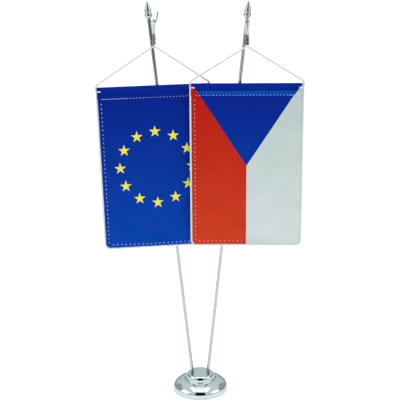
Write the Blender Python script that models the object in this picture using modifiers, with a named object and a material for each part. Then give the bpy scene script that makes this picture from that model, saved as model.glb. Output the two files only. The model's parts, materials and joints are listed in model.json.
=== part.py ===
"""Desk flag stand with two leaning poles, each with a hook that holds a hanging table flag.

Metres, +Z up. The origin is the centre of the foot pad's underside, +X runs from the left flag to the
right flag, and the flags hang on the -Y side of the poles.
"""

import math

import bmesh
import bpy
from mathutils import Matrix, Vector

# ---- fits between pieces ----
TOUCH_GAP = 0.0003      # between two pieces that rest on each other
FIT_GAP = 0.0001        # radial, a pole in its socket and a wire or a screw in its hole
DRILL_OVERSHOOT = 0.003    # how far a cutter reaches past the face that it opens

# ---- base ----
BASE_RADIUS = 0.0293
RIM_BOTTOM = 0.0005     # the metal clears the table, the pad carries the stand
RIM_TOP = 0.0048
RIM_CHAMFER = 0.0004
RIM_WALL = 0.0033
DOME_TOP = 0.0127
DOME_FULLNESS = 1.6     # exponent of the dome's curve, 2 is an ellipse
HUB_TOP = 0.0190
HUB_RADIUS = 0.0155
HUB_ROUNDING = 0.0031
HUB_FLAT_RADIUS = HUB_RADIUS - HUB_ROUNDING
HUB_SIDE_SHARE = 0.45   # of the height from the dome to the rounding, where the notch begins
NOTCH_WIDTH = 0.0021
DOME_INNER_RADIUS = HUB_RADIUS + NOTCH_WIDTH
RECESS_RADIUS = BASE_RADIUS - RIM_WALL
RECESS_TOP = 0.0070

BALLAST_RADIUS = RECESS_RADIUS - TOUCH_GAP
BALLAST_TOP = RECESS_TOP - TOUCH_GAP
PAD_THICKNESS = 0.0018
BALLAST_BOTTOM = PAD_THICKNESS + TOUCH_GAP

SCREW_RADIUS = 0.0015
SCREW_HEAD_RADIUS = 0.0028
SCREW_GRIP = 0.0048        # how far the screw reaches into the base
SCREW_TOP = RECESS_TOP + SCREW_GRIP
SCREW_HEAD_DROP = 0.0001   # how far the head lies inside the ballast's underside

# ---- flags ----
CLOTH_WIDTH = 0.110
CLOTH_HEIGHT = 0.166
CLOTH_THICKNESS = 0.0008
CORNER_RADIUS = 0.0040
ROD_RADIUS = 0.0020
ROD_END_INSET = 0.0010
POCKET_WALL = 0.0004
POCKET_INNER_RADIUS = ROD_RADIUS + TOUCH_GAP
POCKET_RADIUS = POCKET_INNER_RADIUS + POCKET_WALL
WEIGHT_DEPTH = 0.449 * CLOTH_HEIGHT    # from the rod down to the flag's centre of weight
LEAN_GAP = 0.00035         # between a pocket and the pole that it leans on
FLAGS_APART = 0.0006       # between the two pockets where the flags pass each other

# ---- poles ----
POLE_RADIUS = 0.00175
POLE_CHAMFER = 0.0004
POLE_INSET = 0.00405       # of each pole's axis from the edge of the hub's flat top
POLE_SPREAD = HUB_FLAT_RADIUS - POLE_INSET
SOCKET_FLOOR = 0.0008
SOCKET_DEPTH = HUB_TOP - RECESS_TOP - SOCKET_FLOOR
POLE_SHOULDER = 0.3780     # along the pole from the hub's top to the finial's seat
HOOK_BELOW_SHOULDER = 0.0020
HOOK_HEIGHT = POLE_SHOULDER - HOOK_BELOW_SHOULDER
FLAG_OVERLAP = 0.0139      # the poles lean out until their hooks stand this much under a cloth's width apart
POLE_LEAN = math.asin(((CLOTH_WIDTH - FLAG_OVERLAP) / 2 - POLE_SPREAD) / HOOK_HEIGHT)
SPIGOT_RADIUS = 0.0012
SPIGOT_LENGTH = 0.0045

# ---- finial, measured up from the pole's shoulder ----
BALL_RADIUS = 0.00385
BALL_SEAT_CUT = 0.00035    # taken off the ball by its flat seat
BALL_TOP_CUT = 0.00075     # taken off it by the neck
BALL_CENTRE = BALL_RADIUS - BALL_SEAT_CUT
NECK_HEIGHT = BALL_CENTRE + BALL_RADIUS - BALL_TOP_CUT
NECK_RADIUS = 0.0027
NECK_LENGTH = 0.0008
SPEAR_RADIUS = 0.0035
SPEAR_BASE = NECK_HEIGHT + NECK_LENGTH
SPEAR_LENGTH = 0.0097
SPEAR_FULLNESS = 1.25      # exponent of the spear's curve, 1 is a plain cone
TIP_RADIUS = 0.0003

# ---- hook ----
WIRE_RADIUS = 0.00075
HOOK_ROOT = 0.0009         # how far the wire reaches past the pole's axis
HOOK_DIP = 0.0006          # of the level stretch that the loop hangs on, below the hook's hole
HOOK_ROUTE = (             # out from the pole's surface, and up along it from the hole
    (0.00045, -0.00005), (0.00225, -0.00035), (0.00365, -HOOK_DIP), (0.00585, -HOOK_DIP),
    (0.00705, 0.0), (0.00795, 0.0013), (0.00875, 0.0033), (0.00965, 0.0059), (0.01045, 0.0086),
)

# ---- cord and ferrule ----
CORD_RADIUS = 0.0010
CRIMPED_RADIUS = 0.00062   # of each strand inside the ferrule
LOOP_CLOSED_DROP = 0.0080  # below the wire, where the two strands come together
FERRULE_TOP_DROP = 0.0134
FERRULE_LENGTH = 0.0092
FERRULE_WALL = 0.0005
FERRULE_BORE = (2 * CRIMPED_RADIUS + 1.5 * TOUCH_GAP, CRIMPED_RADIUS + TOUCH_GAP)
FERRULE_HALVES = (FERRULE_BORE[0] + FERRULE_WALL, FERRULE_BORE[1] + FERRULE_WALL)
LEG_DROP = 0.0011          # from the ferrule's lower end to the point where the legs part
LEG_START = 0.0009         # from that point out to the end of each leg
EDGE_OFFSET = CORD_RADIUS + TOUCH_GAP
CORNER_ROUTE = (           # of a leg: past the cloth's side, and above the pocket's top
    (-0.0014, 0.0034), (0.0009, 0.0016), (EDGE_OFFSET + 0.0003, -0.0005), (EDGE_OFFSET, -0.0037),
)

ROUND_STEPS = 32

SIDES = {
    # side: pole's sign, hook's direction about the pole, gap along the hook from the pole to a
    #       ferrule's width, drop from the legs' parting to the rod, yaw and roll of the flag
    "left": dict(
        sign=-1, hook_turn=math.radians(-35.0), loop_gap=0.00146,
        rod_drop=0.0410, yaw=math.radians(4.9), roll=math.radians(1.5),
    ),
    "right": dict(
        sign=1, hook_turn=math.radians(-88.0), loop_gap=0.00346,
        rod_drop=0.0386, yaw=math.radians(-1.0), roll=0.0,
    ),
}


# ---------------------------------------------------------------- scene and helpers

def clear_scene():
    for old in list(bpy.data.objects):
        bpy.data.objects.remove(old, do_unlink=True)


def new_collection(name, hidden=False):
    collection = bpy.data.collections.new(name)
    bpy.context.scene.collection.children.link(collection)
    collection.hide_render = hidden
    return collection


def make_material(name, colour, roughness, metallic=0.0):
    material = bpy.data.materials.new(name)
    material.use_nodes = True
    shader = material.node_tree.nodes["Principled BSDF"]
    shader.inputs["Base Color"].default_value = (*colour, 1.0)
    shader.inputs["Roughness"].default_value = roughness
    shader.inputs["Metallic"].default_value = metallic
    return material


def link(obj, collection, material=None, parent=None):
    collection.objects.link(obj)
    if material:
        obj.data.materials.clear()
        obj.data.materials.append(material)
    if parent:
        obj.parent = parent
    return obj


def make_empty(name, matrix):
    empty = bpy.data.objects.new(name, None)
    empty.empty_display_size = 0.01
    parts.objects.link(empty)
    empty.matrix_local = matrix
    return empty


def smooth_shading(obj, angle=math.radians(40)):
    obj.data.shade_smooth()
    obj.data.set_sharp_from_angle(angle=angle)


def turned(name, profile, material, parent=None, steps=ROUND_STEPS):
    """A solid of revolution about the local Z axis. The profile runs down its outer side, top to bottom."""
    mesh = bpy.data.meshes.new(name)
    points = [(r, 0.0, z) for r, z in profile]
    mesh.from_pydata(points, [(i, i + 1) for i in range(len(points) - 1)], [])
    obj = bpy.data.objects.new(name, mesh)
    link(obj, parts, material, parent)
    screw = obj.modifiers.new("turn", "SCREW")
    screw.steps = steps
    screw.render_steps = steps
    screw.use_merge_vertices = True
    screw.merge_threshold = 0.00001
    screw.use_smooth_shade = True
    return obj


def cylinder_mesh(name, radius, bottom, top, steps=ROUND_STEPS):
    mesh = bpy.data.meshes.new(name)
    shape = bmesh.new()
    middle = Matrix.Translation((0.0, 0.0, (bottom + top) / 2))
    bmesh.ops.create_cone(
        shape, cap_ends=True, segments=steps, radius1=radius, radius2=radius,
        depth=top - bottom, matrix=middle,
    )
    shape.to_mesh(mesh)
    shape.free()
    return mesh


def cylinder(name, radius, bottom, top, material, collection=None, parent=None):
    obj = bpy.data.objects.new(name, cylinder_mesh(name, radius, bottom, top))
    link(obj, collection or parts, material, parent)
    smooth_shading(obj)
    return obj


def make_cutter(obj):
    obj.hide_render = True
    obj.display_type = "WIRE"
    return obj


def cut(target, cutter, operation="DIFFERENCE"):
    boolean = target.modifiers.new(operation.lower(), "BOOLEAN")
    boolean.operation = operation
    boolean.solver = "EXACT"
    boolean.object = cutter


def smooth_route(points, per_span):
    """Points read from a Catmull-Rom curve through the given ones."""
    points = [Vector(p) for p in points]
    ends = [2 * points[0] - points[1]] + points + [2 * points[-1] - points[-2]]
    route = []
    for i in range(1, len(ends) - 2):
        a, b, c, d = ends[i - 1:i + 3]
        for k in range(per_span):
            t = k / per_span
            route.append(0.5 * (
                2 * b + (c - a) * t + (2 * a - 5 * b + 4 * c - d) * t ** 2
                + (3 * b - a - 3 * c + d) * t ** 3
            ))
    return route + [points[-1]]


def tube(name, route, radius, material, parent, radii=None):
    """A round wire or cord along a route in the parent's frame."""
    curve = bpy.data.curves.new(name, "CURVE")
    curve.dimensions = "3D"
    curve.bevel_depth = radius
    curve.bevel_resolution = 2
    curve.use_fill_caps = True
    spline = curve.splines.new("POLY")
    spline.points.add(len(route) - 1)
    for i, point in enumerate(route):
        spline.points[i].co = (*point, 1.0)
        spline.points[i].radius = radii[i] if radii else 1.0
    return link(bpy.data.objects.new(name, curve), parts, material, parent)


def arc(centre, radius, start, end, steps):
    """Points of an arc in a plane, in degrees."""
    angles = [math.radians(start + (end - start) * i / steps) for i in range(steps + 1)]
    return [(centre[0] + radius * math.cos(a), centre[1] + radius * math.sin(a)) for a in angles]


def plate_mesh(name, outlines, half_depth):
    """A flat outline, with any holes, extruded to both sides along its own Z axis."""
    curve = bpy.data.curves.new(name + "_outline", "CURVE")
    curve.dimensions = "2D"
    curve.fill_mode = "BOTH"
    curve.extrude = half_depth
    for outline in outlines:
        spline = curve.splines.new("POLY")
        spline.points.add(len(outline) - 1)
        for point, (x, y) in zip(spline.points, outline):
            point.co = (x, y, 0.0, 1.0)
        spline.use_cyclic_u = True
    drawn = bpy.data.objects.new(name + "_outline", curve)
    bpy.context.scene.collection.objects.link(drawn)
    evaluated = drawn.evaluated_get(bpy.context.evaluated_depsgraph_get())
    mesh = bpy.data.meshes.new_from_object(evaluated)
    mesh.name = name
    bpy.data.objects.remove(drawn)
    bpy.data.curves.remove(curve)
    shape = bmesh.new()
    shape.from_mesh(mesh)
    bmesh.ops.remove_doubles(shape, verts=shape.verts, dist=0.000001)
    bmesh.ops.recalc_face_normals(shape, faces=shape.faces)
    shape.to_mesh(mesh)
    shape.free()
    return mesh


def stadium(half_width, half_depth, steps=10):
    straight = half_width - half_depth
    return arc((straight, 0), half_depth, -90, 90, steps) + arc((-straight, 0), half_depth, 90, 270, steps)


# ---------------------------------------------------------------- base

def dome_profile(steps=9):
    points = []
    for i in range(steps + 1):
        t = math.sin(math.radians(90 * i / steps))
        r = DOME_INNER_RADIUS + (BASE_RADIUS - DOME_INNER_RADIUS) * t
        rise = (1 - t ** DOME_FULLNESS) ** (1 / DOME_FULLNESS)
        points.append((r, RIM_TOP + (DOME_TOP - RIM_TOP) * rise))
    return points


def hub_profile():
    side_top = HUB_TOP - HUB_ROUNDING
    side_bottom = DOME_TOP + HUB_SIDE_SHARE * (side_top - DOME_TOP)
    points = [(0.0, HUB_TOP)]
    points += arc((HUB_FLAT_RADIUS, side_top), HUB_ROUNDING, 90, 0, 6)
    points += arc((DOME_INNER_RADIUS, side_bottom), NOTCH_WIDTH, 180, 250, 4)
    return points


def make_base():
    profile = hub_profile() + dome_profile() + [
        (BASE_RADIUS, RIM_BOTTOM + RIM_CHAMFER),
        (BASE_RADIUS - RIM_CHAMFER, RIM_BOTTOM),
        (RECESS_RADIUS, RIM_BOTTOM),
        (RECESS_RADIUS, RECESS_TOP),
        (SCREW_RADIUS + FIT_GAP, RECESS_TOP),
        (SCREW_RADIUS + FIT_GAP, SCREW_TOP + TOUCH_GAP),
        (0.0, SCREW_TOP + TOUCH_GAP),
    ]
    base = turned("base", profile, CHROME, steps=64)
    for side, pole in pole_empties.items():
        drill = cylinder(
            side + "_socket_cutter", POLE_RADIUS + FIT_GAP, -SOCKET_DEPTH, DRILL_OVERSHOOT,
            None, cutters, pole,
        )
        cut(base, make_cutter(drill))


def make_ballast():
    hole = SCREW_RADIUS + TOUCH_GAP
    sink = SCREW_HEAD_RADIUS + TOUCH_GAP
    turned("ballast", [
        (hole, BALLAST_TOP),
        (BALLAST_RADIUS, BALLAST_TOP),
        (BALLAST_RADIUS, BALLAST_BOTTOM),
        (sink, BALLAST_BOTTOM),
        (hole, BALLAST_BOTTOM + sink - hole),
        (hole, BALLAST_TOP),
    ], STEEL, steps=64)
    head_bottom = BALLAST_BOTTOM + SCREW_HEAD_DROP
    turned("ballast_screw", [
        (0.0, SCREW_TOP),
        (SCREW_RADIUS, SCREW_TOP),
        (SCREW_RADIUS, head_bottom + SCREW_HEAD_RADIUS - SCREW_RADIUS),
        (SCREW_HEAD_RADIUS, head_bottom),
        (0.0, head_bottom),
    ], STEEL)


def make_foot_pad():
    pad = cylinder("foot_pad", BALLAST_RADIUS, 0.0, PAD_THICKNESS, FELT)
    pad.data.shade_flat()


# ---------------------------------------------------------------- poles, finials and hooks

def pole_matrix(sign):
    foot = Matrix.Translation((sign * POLE_SPREAD, 0.0, HUB_TOP))
    return foot @ Matrix.Rotation(sign * POLE_LEAN, 4, "Y")


def hook_matrix(side):
    """Origin where the wire crosses the pole's axis, X out along the hook, Z up along the pole."""
    up = Matrix.Translation((0.0, 0.0, HOOK_HEIGHT))
    return up @ Matrix.Rotation(SIDES[side]["hook_turn"], 4, "Z")


def make_pole(side, pole):
    foot = -SOCKET_DEPTH + TOUCH_GAP
    obj = turned(side + "_pole", [
        (0.0, POLE_SHOULDER + SPIGOT_LENGTH),
        (SPIGOT_RADIUS, POLE_SHOULDER + SPIGOT_LENGTH),
        (SPIGOT_RADIUS, POLE_SHOULDER),
        (POLE_RADIUS, POLE_SHOULDER),
        (POLE_RADIUS, foot + POLE_CHAMFER),
        (POLE_RADIUS - POLE_CHAMFER, foot),
        (0.0, foot),
    ], CHROME, parent=pole)
    drill = cylinder(
        side + "_hook_hole_cutter", WIRE_RADIUS + FIT_GAP, -HOOK_ROOT - TOUCH_GAP, 2 * POLE_RADIUS,
        None, cutters, pole,
    )
    drill.matrix_local = hook_matrix(side) @ Matrix.Rotation(math.radians(90), 4, "Y")
    cut(obj, make_cutter(drill))


def make_finial(side, pole):
    seat = POLE_SHOULDER + TOUCH_GAP
    bore = SPIGOT_RADIUS + FIT_GAP
    half_neck = math.degrees(math.asin((NECK_HEIGHT - BALL_CENTRE) / BALL_RADIUS))
    low = math.degrees(math.asin(BALL_CENTRE / BALL_RADIUS))
    ball = arc((0.0, seat + BALL_CENTRE), BALL_RADIUS, half_neck, -low, 10)
    tip = seat + SPEAR_BASE + SPEAR_LENGTH
    spear = []
    for i in range(9):
        t = i / 8
        ogive = TIP_RADIUS + (SPEAR_RADIUS - TIP_RADIUS) * (1 - (1 - t) ** SPEAR_FULLNESS)
        spear.append((ogive, tip - SPEAR_LENGTH * t))
    turned(side + "_finial", [(0.0, tip + TIP_RADIUS / 2)] + spear + [
        (NECK_RADIUS, seat + NECK_HEIGHT + TOUCH_GAP),
    ] + ball + [
        (bore, seat),
        (bore, seat + SPIGOT_LENGTH + TOUCH_GAP),
        (0.0, seat + SPIGOT_LENGTH + TOUCH_GAP),
    ], CHROME, parent=pole)


def make_hook(side, pole):
    route = [(-HOOK_ROOT, 0.0, 0.0), (POLE_RADIUS / 3, 0.0, 0.0)]
    route += [(POLE_RADIUS + out, 0.0, up) for out, up in HOOK_ROUTE]
    hook = tube(side + "_hook", smooth_route(route, 3), WIRE_RADIUS, CHROME, pole)
    hook.matrix_local = hook_matrix(side)


# ---------------------------------------------------------------- hanging loop and ferrule

def saddle_matrix(side):
    """Origin on the wire where the loop hangs, upright, X across the loop's two strands."""
    pose = SIDES[side]
    on_hook = Vector((POLE_RADIUS + FERRULE_HALVES[0] + pose["loop_gap"], 0.0, -HOOK_DIP))
    place = pole_matrix(pose["sign"]) @ hook_matrix(side) @ on_hook
    across = pose["hook_turn"] + math.radians(90)
    return Matrix.Translation(place) @ Matrix.Rotation(across, 4, "Z")


def make_loop(side, saddle):
    bend = WIRE_RADIUS + TOUCH_GAP + CORD_RADIUS
    closed = CORD_RADIUS + TOUCH_GAP / 2
    crimped = CRIMPED_RADIUS + TOUCH_GAP / 2
    ferrule_end = -FERRULE_TOP_DROP - FERRULE_LENGTH
    thin = CRIMPED_RADIUS / CORD_RADIUS
    strand = [  # out from the middle, height, share of the cord's radius
        (bend * 0.99, -0.15 * LOOP_CLOSED_DROP, 1.0),
        ((2 * bend + closed) / 3, -0.5 * LOOP_CLOSED_DROP, 1.0),
        (closed, -LOOP_CLOSED_DROP, 1.0),
        (closed, -FERRULE_TOP_DROP + 0.0030, 1.0),
        ((closed + crimped) / 2, -FERRULE_TOP_DROP + 0.0014, (1 + thin) / 2),
        (crimped, -FERRULE_TOP_DROP + 0.0002, thin),
        (crimped, ferrule_end + TOUCH_GAP, thin),
    ]
    over = [(bend * math.cos(a), bend * math.sin(a), 1.0)
            for a in [math.radians(180 - 30 * i) for i in range(7)]]
    points = [(-x, z, share) for x, z, share in reversed(strand)] + over + strand
    route = smooth_route(points, 2)
    tube(
        side + "_hanging_loop", [(x, 0.0, z) for x, z, share in route], CORD_RADIUS,
        CORD, saddle, [share for x, z, share in route],
    )


def make_ferrule(side, saddle):
    outlines = [stadium(*FERRULE_HALVES), stadium(*FERRULE_BORE)]
    mesh = plate_mesh(side + "_ferrule", outlines, FERRULE_LENGTH / 2)
    ferrule = bpy.data.objects.new(side + "_ferrule", mesh)
    link(ferrule, parts, STEEL, saddle)
    ferrule.location = (0.0, 0.0, -FERRULE_TOP_DROP - FERRULE_LENGTH / 2)
    smooth_shading(ferrule)


# ---------------------------------------------------------------- flags

def parting_matrix(side):
    """Origin where the cord's legs part below the ferrule, X along the flag's rod, Z up the flag."""
    pose = SIDES[side]
    drop = FERRULE_TOP_DROP + FERRULE_LENGTH + LEG_DROP
    place = saddle_matrix(side).translation - Vector((0.0, 0.0, drop))
    turn = Matrix.Rotation(pose["yaw"], 4, "Z") @ Matrix.Rotation(-pose["roll"], 4, "Y")
    return Matrix.Translation(place) @ turn


def rod_under(side):
    """The rod's middle if it lay straight below the parting, in the flag's frame.

    A rolled flag hangs to one side, so that its weight stays under the ferrule.
    """
    pose = SIDES[side]
    shift = (pose["rod_drop"] + WEIGHT_DEPTH) * math.sin(pose["roll"])
    return Vector((-shift, 0.0, -pose["rod_drop"]))


def rod_ahead(side):
    """How far the rod lies ahead of the parting, so that its pocket clears what is behind it.

    The left flag leans on its own pole, and the right flag's inner end passes in front of the left flag.
    """
    flag = parting_matrix(side)
    forward = -flag.col[1].to_3d()
    if side == "left":
        behind = pole_matrix(SIDES[side]["sign"])
        across = behind.col[2].to_3d().cross(flag.col[0].to_3d()).normalized()
        nearest = flag @ rod_under(side)
        clear = POLE_RADIUS + POCKET_RADIUS + LEAN_GAP
        back = behind.translation
    else:
        behind = parting_matrix("left")
        across = behind.col[1].to_3d()
        nearest = flag @ (rod_under(side) - Vector((CLOTH_WIDTH / 2, 0.0, 0.0)))
        clear = 2 * POCKET_RADIUS + FLAGS_APART
        back = behind @ rod_place("left")
    return (clear + (nearest - back).dot(across)) / -forward.dot(across)


def rod_place(side):
    """The rod's middle, in the flag's frame."""
    return rod_under(side) - Vector((0.0, rod_ahead(side), 0.0))


def leg_route(side, sign):
    """From the ferrule down to the rod's end, in the flag's frame."""
    rod = rod_place(side)
    half = CLOTH_WIDTH / 2
    corner = [rod + Vector((sign * (half + out), 0.0, POCKET_RADIUS + up)) for out, up in CORNER_ROUTE]
    start = corner[0].normalized() * LEG_START
    return [start.lerp(corner[0], t) for t in (0.0, 0.25, 0.5, 0.75, 0.95)] + corner


def edge_route(side, sign):
    """Down one side of the cloth and round its lower corner to the middle of the hem."""
    rod = rod_place(side)
    x = sign * (CLOTH_WIDTH / 2 + EDGE_OFFSET)
    bottom = POCKET_RADIUS - CLOTH_HEIGHT - EDGE_OFFSET
    bend = CORNER_RADIUS + EDGE_OFFSET
    down = [(x, bottom * t) for t in (0.10, 0.30, 0.50, 0.70, 0.90)]
    turn = arc((abs(x) - bend, bottom + bend), bend, 0, -90, 3)
    across = [(0.55 * abs(x), bottom), (0.2 * abs(x), bottom)]
    points = down + [(sign * px, pz) for px, pz in turn + across]
    return [rod + Vector((px, 0.0, pz)) for px, pz in points]


def make_flag_cord(side, parting):
    left = leg_route(side, -1) + edge_route(side, -1)
    right = leg_route(side, 1) + edge_route(side, 1)
    route = smooth_route(left + right[::-1], 2)
    tube(side + "_flag_cord", route, CORD_RADIUS, CORD, parting)


def make_rod(side, parting):
    half = CLOTH_WIDTH / 2 - ROD_END_INSET
    rod = cylinder(side + "_flag_rod", ROD_RADIUS, -half, half, PLASTIC, None, parting)
    lying = Matrix.Rotation(math.radians(90), 4, "Y")
    rod.matrix_local = Matrix.Translation(rod_place(side)) @ lying


def make_cloth(side, parting, material):
    """One sheet, folded round the rod at its top and closed to a pocket, with rounded lower corners."""
    half = CLOTH_THICKNESS / 2
    hem = POCKET_RADIUS - CLOTH_HEIGHT
    side_angle = math.degrees(math.asin(half / POCKET_RADIUS))
    outline = arc((0.0, 0.0), POCKET_RADIUS, side_angle - 90, 270 - side_angle, 24)
    outline += [(-half, hem), (half, hem)]
    hole = arc((0.0, 0.0), POCKET_INNER_RADIUS, 0, 345, 23)
    folded = plate_mesh(side + "_flag_cloth", [outline, hole], CLOTH_WIDTH / 2)
    cloth = bpy.data.objects.new(side + "_flag_cloth", folded)
    link(cloth, parts, material, parting)
    # The section's X is the flag's depth, its Y the height, and it is extruded along the rod.
    along_rod = Matrix(((0, 0, 1, 0), (1, 0, 0, 0), (0, 1, 0, 0), (0, 0, 0, 1)))
    cloth.matrix_local = Matrix.Translation(rod_place(side)) @ along_rod

    x = CLOTH_WIDTH / 2
    low = x - CORNER_RADIUS
    above = POCKET_RADIUS + DRILL_OVERSHOOT
    beside = x + DRILL_OVERSHOOT
    shoulder = hem + CORNER_RADIUS + DRILL_OVERSHOOT
    cut_shape = arc((low, hem + CORNER_RADIUS), CORNER_RADIUS, -90, 0, 6)
    cut_shape += [(beside, shoulder), (beside, above), (-beside, above), (-beside, shoulder)]
    cut_shape += arc((-low, hem + CORNER_RADIUS), CORNER_RADIUS, 180, 270, 6)
    name = side + "_hem_cutter"
    hem_cutter = bpy.data.objects.new(name, plate_mesh(name, [cut_shape], 2 * POCKET_RADIUS))
    link(hem_cutter, cutters, None, parting)
    # The cutter's X runs along the rod, its Y up the flag.
    upright = Matrix.Rotation(math.radians(90), 4, "X")
    hem_cutter.matrix_local = Matrix.Translation(rod_place(side)) @ upright
    cut(cloth, make_cutter(hem_cutter), "INTERSECT")


# ---------------------------------------------------------------- build

clear_scene()
parts = new_collection("desk_flag_stand")
cutters = new_collection("cutters", hidden=True)

CHROME = make_material("chrome", (0.72, 0.75, 0.77), 0.07, 1.0)
STEEL = make_material("steel", (0.50, 0.50, 0.47), 0.35, 1.0)
FELT = make_material("felt", (0.03, 0.03, 0.03), 0.95)
CORD = make_material("white_cord", (0.80, 0.81, 0.80), 0.75)
PLASTIC = make_material("white_plastic", (0.78, 0.78, 0.76), 0.45)
BLUE_SATIN = make_material("blue_satin", (0.004, 0.030, 0.300), 0.42)
RED_WHITE_SATIN = make_material("red_white_satin", (0.60, 0.08, 0.05), 0.42)

pole_empties = {
    side: make_empty(side + "_pole_axis", pole_matrix(pose["sign"])) for side, pose in SIDES.items()
}
make_base()
make_ballast()
make_foot_pad()
for side, satin in (("left", BLUE_SATIN), ("right", RED_WHITE_SATIN)):
    pole_axis = pole_empties[side]
    make_pole(side, pole_axis)
    make_finial(side, pole_axis)
    make_hook(side, pole_axis)
    saddle = make_empty(side + "_loop_pivot", saddle_matrix(side))
    make_loop(side, saddle)
    make_ferrule(side, saddle)
    parting = make_empty(side + "_flag_pivot", parting_matrix(side))
    make_flag_cord(side, parting)
    make_rod(side, parting)
    make_cloth(side, parting, satin)
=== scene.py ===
"""Looks of the desk flag stand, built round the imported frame.

Metres, in the frame's own axes: +X from the left flag to the right flag, -Y towards the viewer, +Z up.
"""

import json
import math

import bmesh
import bpy
import numpy as np
from mathutils import Matrix, Vector
from mathutils.kdtree import KDTree


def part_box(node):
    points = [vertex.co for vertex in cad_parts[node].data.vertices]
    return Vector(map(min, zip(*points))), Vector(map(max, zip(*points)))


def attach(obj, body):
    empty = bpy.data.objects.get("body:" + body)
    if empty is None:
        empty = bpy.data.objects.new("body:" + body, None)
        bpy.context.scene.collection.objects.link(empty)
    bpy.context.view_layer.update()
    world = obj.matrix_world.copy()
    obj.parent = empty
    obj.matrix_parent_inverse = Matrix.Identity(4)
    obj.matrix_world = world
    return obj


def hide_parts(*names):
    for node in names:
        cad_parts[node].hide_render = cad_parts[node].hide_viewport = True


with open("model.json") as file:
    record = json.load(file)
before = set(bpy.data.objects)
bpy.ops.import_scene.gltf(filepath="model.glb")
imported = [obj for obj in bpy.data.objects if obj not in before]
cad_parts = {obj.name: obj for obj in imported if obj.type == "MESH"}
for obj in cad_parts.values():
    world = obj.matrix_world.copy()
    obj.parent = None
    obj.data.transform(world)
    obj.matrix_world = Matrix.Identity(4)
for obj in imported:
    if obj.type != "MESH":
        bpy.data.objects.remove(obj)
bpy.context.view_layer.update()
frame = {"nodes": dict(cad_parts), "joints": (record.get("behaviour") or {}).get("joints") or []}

# ---- sizes that the pieces share with the frame ----
BASE_RADIUS = 0.0293
RIM_BOTTOM, RIM_TOP = 0.0005, 0.0048
DOME_TOP, DOME_INNER_RADIUS, DOME_FULLNESS = 0.0127, 0.0176, 1.6
HUB_TOP, HUB_RADIUS, HUB_ROUNDING = 0.0190, 0.0155, 0.0031
HUB_SIDE_SHARE = 0.45        # of the height from the dome to the rounding, where the notch begins
RIM_EDGE = 0.0005
RECESS_RADIUS, RECESS_TOP = 0.0260, 0.0070
SCREW_HOLE_RADIUS, SCREW_HOLE_TOP = 0.0016, 0.0121
PAD_RADIUS, PAD_THICKNESS, PAD_EDGE = 0.0257, 0.0018, 0.0003

POLE_RADIUS, POLE_FOOT, POLE_SHOULDER, POLE_CHAMFER = 0.00175, -0.0109, 0.3780, 0.0004
FIT_GAP, TOUCH_GAP = 0.0001, 0.0003
SPIGOT_RADIUS, SPIGOT_LENGTH = 0.0012, 0.0045
FINIAL_SEAT = POLE_SHOULDER + TOUCH_GAP
# Heights on the finial are above its seat.
BALL_RADIUS, BALL_CENTRE = 0.00385, 0.0035
NECK_HEIGHT, NECK_RADIUS = 0.0066, 0.0027
SPEAR_BASE, SPEAR_RADIUS, SPEAR_TIP = 0.0074, 0.0035, 0.0171
SPEAR_FULLNESS, SPEAR_LIP = 1.25, 0.00022
TIP_RADIUS = 0.0003

HOOK_HEIGHT, WIRE_RADIUS, HOOK_ROOT = 0.3760, 0.00075, 0.0009
HOOK_ROUTE = (    # out from the pole's side, and up
    (0.00045, -0.00005), (0.00225, -0.00035), (0.00365, -0.0006), (0.00585, -0.0006),
    (0.00705, 0.0), (0.00795, 0.0013), (0.00875, 0.0033), (0.00965, 0.0059), (0.01045, 0.0086),
)

CORD_RADIUS, CRIMPED_RADIUS = 0.0010, 0.00062
LOOP_BEND = 0.00205          # radius of the cord's middle over the wire
LOOP_CLOSED_DROP = 0.0080    # below the wire, where the two strands meet
FERRULE_TOP_DROP, FERRULE_LENGTH, FERRULE_WALL = 0.0134, 0.0092, 0.0005
FERRULE_BORE = (0.00169, 0.00092)    # half its width and half its depth
LEG_START = 0.0009           # from the point where the flag cord's legs part
EDGE_OFFSET = CORD_RADIUS + TOUCH_GAP
# How the flag cord turns down past the pocket's end: out from the cloth's edge, and up from its top.
CORNER_ROUTE = ((-0.0014, 0.0034), (0.0009, 0.0016), (EDGE_OFFSET + 0.0003, -0.0005), (EDGE_OFFSET, -0.0037))

CLOTH_WIDTH, CLOTH_HEIGHT = 0.110, 0.166
CLOTH_THICKNESS = 0.00035
CORNER_RADIUS = 0.0040
ROD_RADIUS, ROD_LENGTH = 0.0020, 0.1080
POCKET_RADIUS = 0.0027
POCKET_MIDDLE = 0.00245      # radius of the middle of the cloth round the rod
POCKET_DEPTH = 0.0120        # from the pocket's top to its seam

# Where each hook points, which way its flag's sway axis runs, how its rod tips, and its cloth's slot.
SIDES = {
    "left": dict(hook_turn=math.radians(-35.0), facing=1, roll=math.radians(1.5), slot="blue_satin"),
    "right": dict(hook_turn=math.radians(-88.0), facing=-1, roll=0.0, slot="red_white_satin"),
}


# ---- places read from the frame ----

def joint_named(name):
    return next(j for j in frame["joints"] if j["name"] == name)


def basis(origin, x, y, z):
    matrix = Matrix((x, y, z)).transposed().to_4x4()
    matrix.translation = origin
    return matrix


def pole_place(side):
    """Origin at the pole's foot on the hub, Z up the pole, Y along the frame's Y."""
    turn = joint_named(side + "_pole_turn")
    up = Vector(turn["axis"]).normalized()
    back = Vector((0.0, 1.0, 0.0))
    return basis(Vector(turn["pos_m"]), back.cross(up).normalized(), back, up)


def hook_place(side):
    """Origin where the wire crosses the pole's axis, X out along the hook, Z up the pole."""
    up = Matrix.Translation((0.0, 0.0, HOOK_HEIGHT))
    return pole_place(side) @ up @ Matrix.Rotation(SIDES[side]["hook_turn"], 4, "Z")


def saddle_place(side):
    """Origin on the wire where the loop hangs, X across the loop's two strands, Z up."""
    swing = joint_named(side + "_loop_swing")
    across = SIDES[side]["hook_turn"] + math.radians(90)
    return Matrix.Translation(swing["pos_m"]) @ Matrix.Rotation(across, 4, "Z")


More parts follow.
